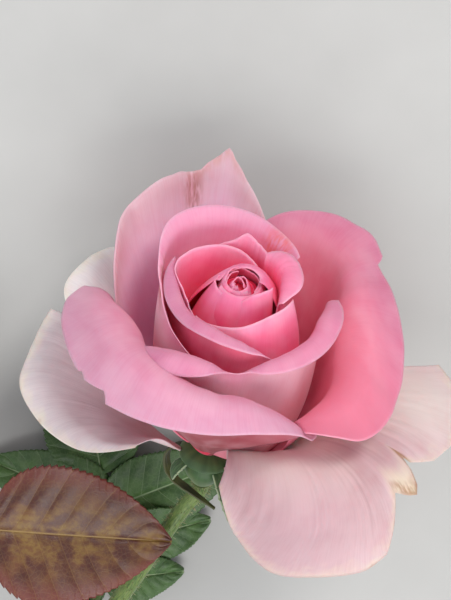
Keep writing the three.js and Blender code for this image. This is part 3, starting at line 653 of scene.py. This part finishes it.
# Painted shade: the white guard finish greyed for the left guard petal.
shaded_white_finish = petal_finish(
    "left guard petal", SHADED_WHITE_INNER, WHITE_OUTER, veins=0.2, seed=10.0, dry=0.5, vein_tint=(226, 214, 224)
)
GUARD_PETALS = [
    dict(
        name="guard_front", azimuth=[-79.5, 24], flare=[68], claw=0.35, wrinkle=0.12,
        finish=front_finish, seed=61, reach=[15, 20, 24, 26, 27.5, 28, 28.5, 29, 30, 31, 31],
        rise=[13, 17, 19.5, 20.5, 20.5, 20.5, 20.5, 21, 21.5, 22, 23],
        lean=[75, 66, 62, 60, 60, 62, 64, 66, 68, 70, 72],
        flap=[8.5, 27.8, 37.2, 38, 37.9, 35.7, 31.9, 30.1, 29.6, 29, 26],
        turn=[78, 129, 130, 117, 101, 83, 67, 59, 50, 41, 36],
        rim=[
            (-1, 0), (-0.8, -1.5), (-0.6, 0), (-0.2, -1.5), (-0.1, -3), (0.05, -13), (0.13, -8),
            (0.17, -6), (0.21, -7), (0.24, -10), (0.256, -14.5), (0.27, -11), (0.4, -4.5), (0.6, 0),
        ],
    ),
    dict(
        name="guard_left", azimuth=[160, 218], claw=0.15, wrinkle=0.02, finish=shaded_white_finish, seed=62,
        reach=[39.6, 38.6, 38, 38.4, 36, 32.5, 27.5, 20],
        rise=[20.5, 19, 16.5, 14.5, 12.6, 10.2, 8, 8.5], lean=[68, 72, 76, 80, 82, 84, 84, 84],
        flap=[7, 8, 9, 9, 8.4, 7, 5, 1.6], turn=[40], flare=[72, 72, 72, 72, 72, 68, 58, 42],
    ),
    dict(
        name="guard_high_left", azimuth=[116, 170], flare=[66], finish=white_finish, seed=63,
        reach=[30, 35, 39, 39, 38, 33], rise=[28, 29, 29, 29, 26, 22], lean=[60, 65, 65, 65, 65, 60],
        flap=[3, 5, 6, 6, 6, 3], turn=[25],
    ),
    dict(
        name="guard_under_left", azimuth=[84, 130], flare=[68], claw=0.6, wrinkle=0.15,
        finish=white_finish, seed=64, reach=[33, 38, 40, 38, 31], rise=[16, 18, 19, 19, 18], lean=[72],
        flap=[3, 6, 8, 6, 3], turn=[20],
    ),
    dict(
        name="guard_under_right", azimuth=[26, 82], flare=[68], claw=0.6, wrinkle=0.2,
        finish=front_finish, seed=65, reach=[34, 41, 47, 45, 35], rise=[20, 19.5, 19, 18, 16],
        lean=[72], flap=[3, 6, 8, 6, 3], turn=[20],
    ),
]
for petal in GUARD_PETALS:
    petal.update(seat=[6.6, -1.5], flutter=0.4)
    make_petal(petal, petal["finish"], "petal_guard", 200 if "rim" in petal else 110, 84)

# The hip: the green swelling under the bloom that carries petals and sepals, smooth and a little
# waxy. A turned form, as grown, with faint ribs.
HIP_LENGTH = 12
NECK_RADIUS = 1.9
HIP_PROFILE = [
    (0, -HIP_LENGTH), (NECK_RADIUS, -HIP_LENGTH), (3.1, -10.6), (4.7, -8), (5.2, -6), (4.6, -4),
    (5.9, -2.9), (6.9, -2.3), (5.9, -1), (4.8, -0.3), (3.8, 0.1), (2.8, 0.5), (1.8, 0.9), (0, 1.1),
]
HIP_SIDES = 64
RIBS = 10
RIB_DEPTH = 0.008
RIBS_BELOW = -3


def green_finish(name, low, high, streak_mm, roughness, depth_mm=0.05, edge=None, fuzz=0.3):
    """Green tissue streaked lengthways, with paler or darker margins where edge gives their colour."""
    material, tree = new_finish(name)
    fine = flecks(tree, (streak_mm, 5 * streak_mm), 2.0, 3.0)
    broad = flecks(tree, (6, 9), 5.0)
    colour = blended(between(fine, 0.3, 0.7), paint(*low), paint(*high))
    colour = tinted(colour, broad, 0.4, 0.7, 0.3, (150, 160, 90))
    if edge:
        colour = tinted(colour, size_of(fact(tree, "side")), 0.84, 1.0, 0.8, edge)
    end_finish(
        colour, between(broad, 0.3, 0.7, roughness, roughness + 0.12), fine, depth_mm,
        Subsurface_Weight=0.15, Subsurface_Radius=(0.4, 1.0, 0.3), Subsurface_Scale=0.8 * MM,
        Sheen_Weight=fuzz, Sheen_Roughness=0.4, Sheen_Tint=(0.85, 0.95, 0.8, 1.0),
        Specular_IOR_Level=0.4,
    )
    return material


profile = np.array(HIP_PROFILE, float)
places = np.linspace(-1, 1, 6 * len(profile))[1:-1]
radius, height = (across(profile[:, k], places)[:, None] for k in (0, 1))
angle = np.linspace(0, 2 * pi, HIP_SIDES, endpoint=False)
ribbed = radius * (1 + RIB_DEPTH * np.cos(RIBS * angle) * (height < RIBS_BELOW))
points = np.stack([ribbed * np.cos(angle), ribbed * np.sin(angle), height + 0 * angle], -1).reshape(-1, 3)
facts = {
    "wide_mm": np.tile(angle * 5, len(places)),
    "long_mm": np.repeat(height, HIP_SIDES),
}
hip_finish = green_finish("hip green", (56, 84, 50), (68, 98, 58), 1.5, 0.5, depth_mm=0.02)
faces = ring_faces(len(places), HIP_SIDES)
make_piece("rose_hip", from_bloom(points), faces, facts, hip_finish, "calyx", ["hip"])

# Five sepals under the bloom: narrow green blades with downy pale margins and a few small lobes,
# turned back against the hip and neck. The fifth is a thin brownish one that hooks round. Each
# grows from the hip's rim, as a shell about a bent strip.
SEPAL_THICK = 0.55
SEPAL_ROOT = (5.9, -3.5)
SEPAL_CUPPING = 0.04
SEPAL_LOBE = 0.16
SEPAL_RIB = 0.35
SEPAL_ROWS = 72
SEPAL_COLUMNS = 20
calyx_finish = green_finish("calyx green", (52, 80, 48), (78, 108, 66), 0.5, 0.5, edge=(168, 180, 146))
hooked_finish = green_finish(
    "calyx brown", (44, 48, 26), (70, 64, 38), 0.5, 0.5, edge=(84, 88, 58), fuzz=0.1
)
SEPALS = [
    dict(azimuth=-150, leaves=112, turned=90, length=6.5, width=4),
    dict(azimuth=-50, leaves=115, turned=62, length=13, width=6),
    dict(azimuth=12, leaves=105, turned=42, length=24, width=7),
    dict(azimuth=84, leaves=105, turned=24, length=26, width=7),
    dict(azimuth=152, leaves=95, turned=182, length=28, width=2.6, hook=0.56, aside=5.5),
]
for number, sepal in enumerate(SEPALS, 1):
    t = np.linspace(0, 1, SEPAL_ROWS + 1)
    bend = np.radians(sepal["leaves"] + sepal["turned"] * np.minimum(t / sepal.get("hook", 1), 1))
    step = sepal["length"] / SEPAL_ROWS
    r = SEPAL_ROOT[0] + np.cumsum(step * np.sin(bend)) - step
    z = SEPAL_ROOT[1] + np.cumsum(step * np.cos(bend))
    lobes = SEPAL_LOBE * np.maximum(0, np.sin(2 * pi * (t * 4.3 + 0.1 * number))) ** 3 * (t > 0.25)
    half = sepal["width"] / 2 * (0.55 + 1.6 * t) * (1 - t) ** 1.1 * (1 + lobes) + 0.3
    side = np.linspace(-1, 1, SEPAL_COLUMNS + 1)[:, None]
    y = side * half
    rib = SEPAL_RIB * np.exp(-((side / 0.12) ** 2)) * (1 - t)
    strip = np.stack([r - SEPAL_CUPPING * y * y + rib, y + sepal.get("aside", 0) * t, z + 0 * y], -1)
    turn = radians(sepal["azimuth"])
    spin = np.array([[cos(turn), sin(turn), 0], [-sin(turn), cos(turn), 0], [0, 0, 1]])
    points, faces = shell(strip @ spin, SEPAL_THICK)
    facts = {
        "side": np.tile(np.repeat(side, SEPAL_ROWS + 1), 2),
        "wide_mm": np.tile(y.ravel(), 2),
        "long_mm": np.tile(t * sepal["length"], 2 * (SEPAL_COLUMNS + 1)),
    }
    name = f"sepal_{number}"
    finish = hooked_finish if "hook" in sepal else calyx_finish
    make_piece("rose_" + name, from_bloom(points), faces, facts, finish, "calyx", [name])

# The stem: a round green shoot, moist wood under a thin skin, bent below the bloom and cut flat at
# its far end. It grows on from the hip, as rings of points along a smooth route.
STEM_RADIUS = 2.3
STEM_GAP = 0.3
NECK_STRETCH = 2.5
CURVE_STEPS = 60
STEM_ROUTE = [
    (5.6, 17.5, -7.2), (10, 24, -8), (16.5, 35, -11), (23, 46, -14.5), (40, 74, -21), (63, 111, -31.9)
]


def mixed(t, start, end, a, b):
    """The straight run from a at the time start to b at the time end, at the times t."""
    return ((end - t) * a + (t - start) * b) / (end - start)


def smooth_route(points, count):
    """Even steps along the solids' own centripetal curve through the points, and its length."""
    p = np.array(points, float)
    p = np.concatenate([[2 * p[0] - p[1]], p, [2 * p[-1] - p[-2]]])
    knots = run_along(p, 0.5)
    fine = []
    for i in range(1, len(p) - 2):
        t = np.linspace(knots[i], knots[i + 1], CURVE_STEPS, endpoint=i == len(p) - 3)[:, None]
        t0, t1, t2, t3 = knots[i - 1 : i + 3]
        a1 = mixed(t, t0, t1, p[i - 1], p[i])
        a2 = mixed(t, t1, t2, p[i], p[i + 1])
        a3 = mixed(t, t2, t3, p[i + 1], p[i + 2])
        fine.append(mixed(t, t1, t2, mixed(t, t0, t2, a1, a2), mixed(t, t1, t3, a2, a3)))
    fine = np.concatenate(fine)
    run = run_along(fine)
    wanted = np.linspace(0, run[-1], count + 1)
    return np.stack([np.interp(wanted, run, fine[:, k]) for k in range(3)], 1), run[-1]


def limb(line, radii, sides, long_mm=0.0, girth_mm=1.0):
    """A round limb of those radii along a line, closed at both ends, with its own place marked on it."""
    ahead = np.gradient(line, axis=0)
    ahead /= np.linalg.norm(ahead, axis=1, keepdims=True)
    out = np.cross(ahead[0], [0.3, 0.1, 1.0])
    outs = []
    for direction in ahead:
        out = unit(out - direction * (out @ direction))
        outs.append(out)
    outs = np.array(outs)[:, None]
    beside = np.cross(ahead[:, None], outs)
    round_it = np.linspace(0, 2 * pi, sides, endpoint=False)
    ring = np.cos(round_it)[:, None] * outs + np.sin(round_it)[:, None] * beside
    points = line[:, None] + ring * np.broadcast_to(radii, len(line))[:, None, None]
    facts = {
        "side": np.zeros(len(line) * sides),
        "up": np.repeat(np.linspace(0, 1, len(line)), sides),
        "wide_mm": np.tile(round_it * girth_mm, len(line)),
        "long_mm": np.repeat(np.broadcast_to(long_mm, len(line)), sides),
    }
    return points.reshape(-1, 3), ring_faces(len(line), sides), facts


STEM_ROWS = 220
STEM_SIDES = 40
neck = FOOT - axis * (HIP_LENGTH + STEM_GAP)
stem_points = [neck, neck - axis * NECK_STRETCH, *(FOOT + np.array(p) for p in STEM_ROUTE)]
stem_line, stem_length = smooth_route(stem_points, STEM_ROWS)
t = np.linspace(0, 1, STEM_ROWS + 1)
radii = NECK_RADIUS + (STEM_RADIUS - NECK_RADIUS) * np.minimum(2 * t, 1)
radii = radii * (1 + 0.02 * swell(t, 0 * t, 71, 18, 0))
stem = limb(stem_line, radii, STEM_SIDES, t * stem_length, STEM_RADIUS)
stem_finish = green_finish("stem green", (70, 98, 48), (118, 140, 74), 0.35, 0.42, depth_mm=0.06)
make_piece("rose_stem", *stem, stem_finish, "stem", ["stem"])

# The prickles: five stout hooked spines, green at the root and red at the tip, that grow out of the
# stem's skin at uneven steps. Each is a bowed, tapering limb sunk into the stem.
PRICKLE_LENGTH = 4.5
PRICKLE_RADIUS = 1.5
PRICKLE_TIP_RADIUS = 0.08
PRICKLE_ROOT = 1
PRICKLE_RAKE = 1.5
PRICKLE_BOW = 0.6
PRICKLE_ROWS = 24
PRICKLE_SIDES = 20
PRICKLE_MOTTLE_APART = 9
PRICKLES = [(0.46, 70), (0.58, 200), (0.68, -30), (0.79, 110), (0.9, 20)]


def off_stem(share, angle):
    """A point on the stem's middle line, the way out of it at that angle, and the way along it."""
    i = min(int(share * STEM_ROWS), STEM_ROWS - 1)
    ahead = unit(stem_line[i + 1] - stem_line[i])
    level = unit(np.cross([0, 0, 1], ahead))
    turn = radians(angle)
    return stem_line[i], cos(turn) * level + sin(turn) * np.cross(ahead, level), ahead


def joined(parts):
    """Several meshes as one: their points, their faces and their facts."""
    points, faces, facts = [], [], {}
    count = 0
    for part_points, part_faces, part_facts in parts:
        points.append(part_points)
        faces += [[i + count for i in face] for face in part_faces]
        for key, values in part_facts.items():
            facts.setdefault(key, []).append(values)
        count += len(part_points)
    return np.concatenate(points), faces, {key: np.concatenate(v) for key, v in facts.items()}


prickle_finish, tree = new_finish("prickle")
up = fact(tree, "up")
mottle = grain(times(up, 8.0), fact(tree, "long_mm"), 1.0)
colour = graded(up, [(0, (112, 124, 62)), (0.45, (150, 96, 62)), (1, (120, 42, 34))])
colour = tinted(colour, mottle, 0.4, 0.7, 0.3, (196, 160, 110))
end_finish(colour, 0.35, mottle, 0.05, Specular_IOR_Level=0.5)
parts = []
for number, (share, angle) in enumerate(PRICKLES):
    at, out, ahead = off_stem(share, angle)
    root = at + out * PRICKLE_ROOT
    tip = at + out * (STEM_RADIUS + PRICKLE_LENGTH) + ahead * PRICKLE_RAKE
    middle = (root + tip) / 2 - ahead * PRICKLE_BOW
    line, _ = smooth_route([root, middle, tip], PRICKLE_ROWS)
    s = np.linspace(0, 1, PRICKLE_ROWS + 1)
    radii = PRICKLE_RADIUS * (1 - s) ** 1.3 + PRICKLE_TIP_RADIUS
    parts.append(limb(line, radii, PRICKLE_SIDES, s * 5 + PRICKLE_MOTTLE_APART * number))
make_piece("rose_prickles", *joined(parts), prickle_finish, "stem", ["stem"])

# The hairs: a coat of fine stiff hairs on the stem's skin, green to straw-coloured and closest under
# the bloom. Each is a thin tapering limb, and all are one piece.
HAIRS = 900
HAIR_LENGTH = 0.9
HAIR_SINK = 0.1
HAIR_RADII = (0.07, 0.05, 0.02)
HAIR_SIDES = 4
hair_finish, tree = new_finish("stem hair")
up = fact(tree, "up")
mottle = grain(up, fact(tree, "long_mm"), 4.0)
colour = graded(up, [(0, (130, 150, 84)), (1, (196, 190, 150))])
colour = tinted(colour, mottle, 0.45, 0.65, 0.5, (160, 96, 70))
end_finish(colour, 0.5, mottle, 0.01)
draw = np.random.default_rng(5)
parts = []
for _ in range(HAIRS):
    share = draw.uniform(0, 1) ** 1.6
    at, out, ahead = off_stem(share, draw.uniform(0, 360))
    skin = NECK_RADIUS + (STEM_RADIUS - NECK_RADIUS) * min(2 * share, 1)
    root = at + out * (skin - HAIR_SINK)
    tip = at + out * (skin + HAIR_LENGTH * draw.uniform(0.5, 1.2)) + ahead * draw.uniform(-0.3, 0.3)
    parts.append(limb(np.array([root, (root + tip) / 2, tip]), HAIR_RADII, HAIR_SIDES, share * 100))
make_piece("rose_stem_hairs", *joined(parts), hair_finish, "stem", ["stem"])

# The stem's cut: pale wood round a white pith, left flat and moist by the shears. It is a thin cap
# of rings over the stem's far end.
CUT_SIDES = 48
CUT_DEPTH = 0.6
CUT_PROUD = 0.03
CUT_SPREAD = 1.004
CUT_RINGS = [1.0, 0.9, 0.72, 0.5, 0.25, 0.02]
end_ahead = unit(stem_line[-1] - stem_line[-2])
cut_line = stem_line[-1] + end_ahead * np.array([[-CUT_DEPTH], [CUT_PROUD]])
points, _, facts = limb(cut_line, STEM_RADIUS * CUT_SPREAD, CUT_SIDES)
rim = points[CUT_SIDES:]
centre = rim.mean(0)
points = np.concatenate([points[:CUT_SIDES], *(centre + (rim - centre) * share for share in CUT_RINGS)])
facts = {
    "up": np.repeat([1.0, *CUT_RINGS], CUT_SIDES),
    "side": np.tile(facts["wide_mm"][:CUT_SIDES], len(CUT_RINGS) + 1),
}
CUT_COLOURS = [(0, (238, 236, 214)), (0.45, (226, 228, 190)), (0.8, (176, 194, 124)), (1, (92, 116, 60))]
cut_finish, tree = new_finish("stem cut")
out = fact(tree, "up")
rays = grain(times(fact(tree, "side"), 9.0), out, 3.0)
colour = graded(out, CUT_COLOURS)
colour = tinted(colour, rays, 0.45, 0.65, 0.35, (196, 190, 140))
end_finish(colour, 0.4, rays, 0.03, Subsurface_Weight=0.2, Subsurface_Scale=MM)
faces = ring_faces(len(CUT_RINGS) + 1, CUT_SIDES)
make_piece("rose_stem_cut", points, faces, facts, cut_finish, "stem", ["stem"])

# The bronze leaf: a young compound leaf on a thin stalk, three glossy leaflets with saw-toothed red
# margins and yellowish veins. It springs from the stem, and its stalk has the same bronze skin.
LEAF_THICK = 0.45
STALK_RADIUS = 0.9
STALK_ROWS = 90
STALK_SIDES = 16
BRONZE_STALK = [(32.3, 55.7, -15.9), (39, 50, -10), (48, 36, -2), (53.5, 19, 4), (57, 8, 6)]
BRONZE_LEAFLETS = [
    dict(on=0.79, to=(9.5, 24.5, 1), tilt=-8, length=44.5, width=37, fold=0.12, droop=0.04),
    dict(on=0.76, to=(96, 4, -2), tilt=8, length=42, width=31, fold=0.2, droop=0.14),
    dict(on=1, to=(82, -24, 4), length=48, width=34, fold=0.2, droop=0.18),
]
VEIN_PAIRS = 8
VEIN_SLANT = 0.18
VEIN_PUFF = 0.45
RIB_SINK = 0.35
BLADE_WAVE = 0.6
TEETH = 26
TOOTH_DEPTH = 0.045


def leaflet(base, tip, rows, columns, seed, length, width, tilt=0, fold=0.16, droop=0.06):
    """One leaflet: an oval blade with forward teeth, folded on its midrib, puffed between its veins."""
    along = unit(tip - base)
    level = unit(np.cross([0, 0, 1], along))
    turn = radians(tilt)
    level = level * cos(turn) + np.cross(along, level) * sin(turn)
    up = np.cross(along, level)
    t = np.linspace(0, 1, rows + 1)
    side = np.linspace(1, -1, columns + 1)[:, None]
    off = np.abs(side)
    oval = 2.13 * t**0.45 * (1 - t) ** 0.84
    saw = ((t * TEETH) % 1 - 0.5) * (off > 0.8) * np.minimum(1, 12 * t * (1 - t))
    y = (width / 2 * oval + 0.3) * (1 + TOOTH_DEPTH * saw) * side
    vein = (t - VEIN_SLANT * off) * VEIN_PAIRS
    puff = np.abs(np.sin(pi * vein)) ** 0.7 * np.sin(pi * np.minimum(off * 1.02, 1))
    z = fold * np.abs(y) - droop * length * t * t + VEIN_PUFF * puff
    z += BLADE_WAVE * off**2 * swell(side, t, seed, 1, 2.2) - RIB_SINK * np.exp(-((side / 0.05) ** 2))
    grid = base + along * (length * t)[None, :, None] + level * y[:, :, None] + up * z[:, :, None]
    points, faces = shell(grid, LEAF_THICK)
    at_points = {"side": side, "up": t, "wide_mm": y, "long_mm": t * length, "vein": vein, "kind": seed % 7}
    facts = {key: np.tile(np.broadcast_to(v, y.shape).ravel(), 2) for key, v in at_points.items()}
    return points, faces.tolist(), facts


def compound_leaf(route, leaflets, rows, columns, seed):
    """A leaf's stalk along a route from the stem, with a leaflet at each given place on it."""
    line, length = smooth_route([FOOT + np.array(p) for p in route], STALK_ROWS)
    t = np.linspace(0, 1, STALK_ROWS + 1)
    points, faces, facts = limb(line, STALK_RADIUS * (1.3 - 0.6 * t), STALK_SIDES, t * length)
    facts |= {"vein": np.full(len(points), 0.5), "kind": np.full(len(points), -1.0)}
    parts = [(points, faces, facts)]
    for number, blade in enumerate(leaflets):
        base = line[round(blade.pop("on") * STALK_ROWS)]
        tip = FOOT + np.array(blade.pop("to"), float)
        parts.append(leaflet(base, tip, rows, columns, seed + number, **blade))
    return joined(parts)


LEAF_CLOUD_MM = (6, 6)
LEAF_FLECK_MM = (1.1, 1.7)
LEAF_NET_PER_MM = 0.85
LEAF_BUMP_MM = 0.11


def leaf_finish(name, blade, deep, margin, ribs, veins, patches, mottle, roughness, stalk):
    """A leaf's skin: mottled blade, paler midrib and side veins, a fine net between, a tinted margin."""
    material, tree = new_finish(name)
    wide, kind = fact(tree, "wide_mm"), fact(tree, "kind")
    off_middle = size_of(fact(tree, "side"))
    clouds = flecks(tree, LEAF_CLOUD_MM, 1.0, 4.0)
    specks = flecks(tree, LEAF_FLECK_MM, 3.0, 3.0)
    colour = blended(between(clouds, 0.3, 0.7), paint(*deep), paint(*blade))
    near_rib = between(off_middle, 0.85, 0.05)
    cloudy = between(clouds, 0.42, 0.6)
    patch = times(near_rib, cloudy, between(specks, 0.35, 0.62, 0.4, 1.0), mottle)
    colour = blended(patch, colour, paint(*patches))
    colour = tinted(colour, off_middle, 0.6, 1.0, 0.7, margin)

    off_vein = size_of(minus(worked("FRACT", fact(tree, "vein")), 0.5))
    side_line = times(between(off_vein, 0.455, 0.495), veins)
    rib_line = between(size_of(wide), 0.42, 0.12)
    where = placed(wide, fact(tree, "long_mm"), kind)
    cells = put(tree, "TexVoronoi", {"Vector": where, "Scale": LEAF_NET_PER_MM}, feature="DISTANCE_TO_EDGE")
    net_line = between(cells.outputs["Distance"], 0.1, 0.0, 0.0, 0.14)
    lines = larger(side_line, larger(rib_line, net_line))
    colour = blended(times(lines, 0.75), colour, paint(*ribs))
    colour = tinted(colour, kind, -0.2, -0.8, 1.0, stalk)
    height = minus(times(specks, 0.3), lines)
    end_finish(
        colour, between(clouds, 0.3, 0.7, roughness, roughness + 0.14), height, LEAF_BUMP_MM,
        Subsurface_Weight=0.12, Subsurface_Radius=(0.8, 1.0, 0.3), Subsurface_Scale=0.6 * MM,
        Coat_Weight=0.06, Coat_Roughness=0.3, Specular_IOR_Level=0.4,
    )
    return material


bronze_finish = leaf_finish(
    "bronze leaf", blade=(94, 48, 28), deep=(70, 32, 24), margin=(112, 50, 44), ribs=(150, 122, 70),
    veins=0.3, patches=(138, 112, 48), mottle=0.6, roughness=0.34, stalk=(126, 76, 58)
)
leaf = compound_leaf(BRONZE_STALK, BRONZE_LEAFLETS, rows=208, columns=48, seed=1)
make_piece("rose_leaf_bronze", *leaf, bronze_finish, "leaf_bronze", ["leaf_bronze"])

# The green leaf: an older compound leaf of seven leaflets lying flat behind the stem, dark green
# with pale midribs and saw-toothed margins. It grows from the stem on its own green stalk.
GREEN_STALK = [(34.9, 63.2, -21.8), (31.5, 56, -27), (27, 44, -30.5), (26, 30, -31.5), (28, 18, -31.3)]
GREEN_LEAFLETS = [
    dict(on=0.4, to=(6, 45, -29.5), tilt=4, length=21, width=15),
    dict(on=0.6, to=(0, 31, -29.5), tilt=6, length=27, width=18),
    dict(on=0.8, to=(-7, 14, -29), tilt=4, length=36, width=23),
    dict(on=0.4, to=(47, 52, -31), length=20, width=15),
    dict(on=0.6, to=(53, 38, -31), length=27, width=19),
    dict(on=0.8, to=(60, 14, -31), length=34, width=23),
    dict(on=1, to=(34, -16, -31.4), length=35, width=26),
]
green_leaf_finish = leaf_finish(
    "green leaf", blade=(74, 106, 54), deep=(52, 82, 42), margin=(74, 104, 58), ribs=(150, 172, 130),
    veins=0.6, patches=(92, 126, 66), mottle=0.35, roughness=0.42, stalk=(96, 116, 62)
)
leaf = compound_leaf(GREEN_STALK, GREEN_LEAFLETS, rows=156, columns=32, seed=11)
make_piece("rose_leaf_green", *leaf, green_leaf_finish, "leaf_green", ["leaf_green"])

# The floor the stem lies on, a plain pale sheet, and soft studio light: one large lamp high on the
# right, as the sun stood, and dimmer ones that fill the other sides.
from mathutils import Matrix, Vector

FLOOR_HALF = 3.0
floor_mesh = bpy.data.meshes.new("floor")
corners = [(x * FLOOR_HALF, y * FLOOR_HALF, 0) for x, y in ((-1, -1), (1, -1), (1, 1), (-1, 1))]
floor_mesh.from_pydata(corners, [], [(0, 1, 2, 3)])
floor_finish, tree = new_finish("floor")
where = put(tree, "TexCoord").outputs["Object"]
speckle = put(tree, "TexNoise", {"Vector": where, "Scale": 60.0, "Detail": 3.0}).outputs["Fac"]
colour = blended(speckle, paint(182, 182, 180), paint(190, 190, 188))
end_finish(colour, 0.8, speckle, 0.05)
floor_mesh.materials.append(floor_finish)
in_scene("floor", floor_mesh)

LIT_HEIGHT = 30
lit_point = (FOOT + axis * LIT_HEIGHT) * MM


def lamp(name, towards, distance, size, power, tint):
    """A square soft lamp that looks at the bloom from a direction given in the photo's own axes."""
    direction = unit(towards @ VIEW)
    light = bpy.data.lights.new(name, "AREA")
    light.size = size
    light.energy = power
    light.color = tint
    holder = in_scene(name, light)
    holder.location = Vector(lit_point + direction * distance)
    holder.rotation_mode = "QUATERNION"
    holder.rotation_quaternion = Vector(direction).to_track_quat("Z", "Y")


lamp("key", towards=(0.35, 0.45, 0.82), distance=1.2, size=0.3, power=5.8, tint=(1.0, 0.97, 0.92))
lamp("fill left", towards=(-0.7, 0.1, 0.7), distance=1.4, size=1.0, power=3.6, tint=(0.96, 0.98, 1.0))
lamp("fill low", towards=(0.1, -0.7, 0.7), distance=1.4, size=1.0, power=12, tint=(1.0, 0.98, 0.96))
world = bpy.data.worlds.new("studio")
world.use_nodes = True
sky = world.node_tree.nodes["Background"].inputs
sky["Color"].default_value = (0.92, 0.95, 1.0, 1.0)
sky["Strength"].default_value = 0.6
bpy.context.scene.world = world
bpy.context.scene.view_settings.view_transform = "Standard"

# The camera: a long lens that looks down on the bloom, 15 degrees off plumb. It stands to the right
# of the bloom's foot, up and back from it by these millimetres, as the photo is framed.
LENS_MM = 120
SENSOR_MM = 36
CAMERA_FROM_FOOT = (4.05, 35.35, 482.14)
camera_data = bpy.data.cameras.new("camera")
camera_data.lens = LENS_MM
camera_data.sensor_width = SENSOR_MM
camera = in_scene("camera", camera_data)
stand = FOOT + CAMERA_FROM_FOOT @ VIEW
turned = Matrix(VIEW.T.tolist()).to_4x4()
camera.matrix_world = Matrix.Translation((stand * MM).tolist()) @ turned
bpy.context.scene.camera = camera
